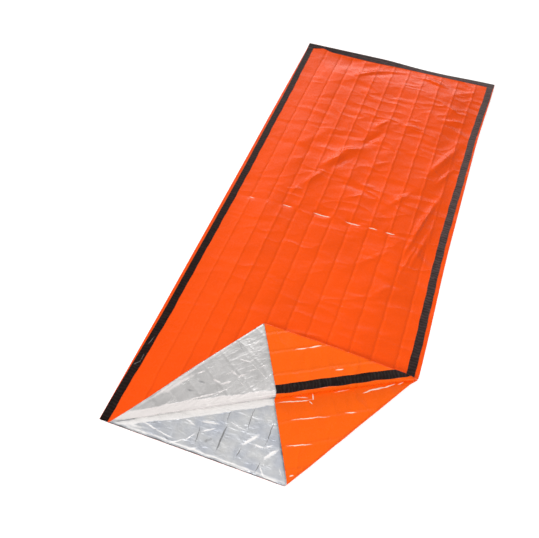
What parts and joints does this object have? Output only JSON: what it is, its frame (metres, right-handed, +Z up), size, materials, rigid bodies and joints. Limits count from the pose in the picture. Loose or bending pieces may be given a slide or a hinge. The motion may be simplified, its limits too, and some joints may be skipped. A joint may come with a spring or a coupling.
{
  "type": "emergency sleeping bag",
  "caption": "Flat emergency sleeping bag of orange film, silver inside, with black tape on its side and foot seams, lying on the floor with one corner of its open mouth turned back.",
  "frame": {"origin": "on the floor, under the middle of the bag's box", "axes": "+Y along the bag from its mouth to its foot, +X across it to the side whose mouth corner is turned back, +Z up"},
  "size_m": [0.9102, 2.13, 0.0451],
  "materials": {
    "film": "thin glossy polyethylene film, orange outside and metallised silver inside, with packing creases",
    "tape": "black cloth-backed tape with a fine weave across it"
  },
  "bodies": {
    "root": {"bottom_panel": "film", "top_panel": "film", "left_tape": "tape", "right_tape": "tape", "foot_tape": "tape"}
  },
  "joints": []
}
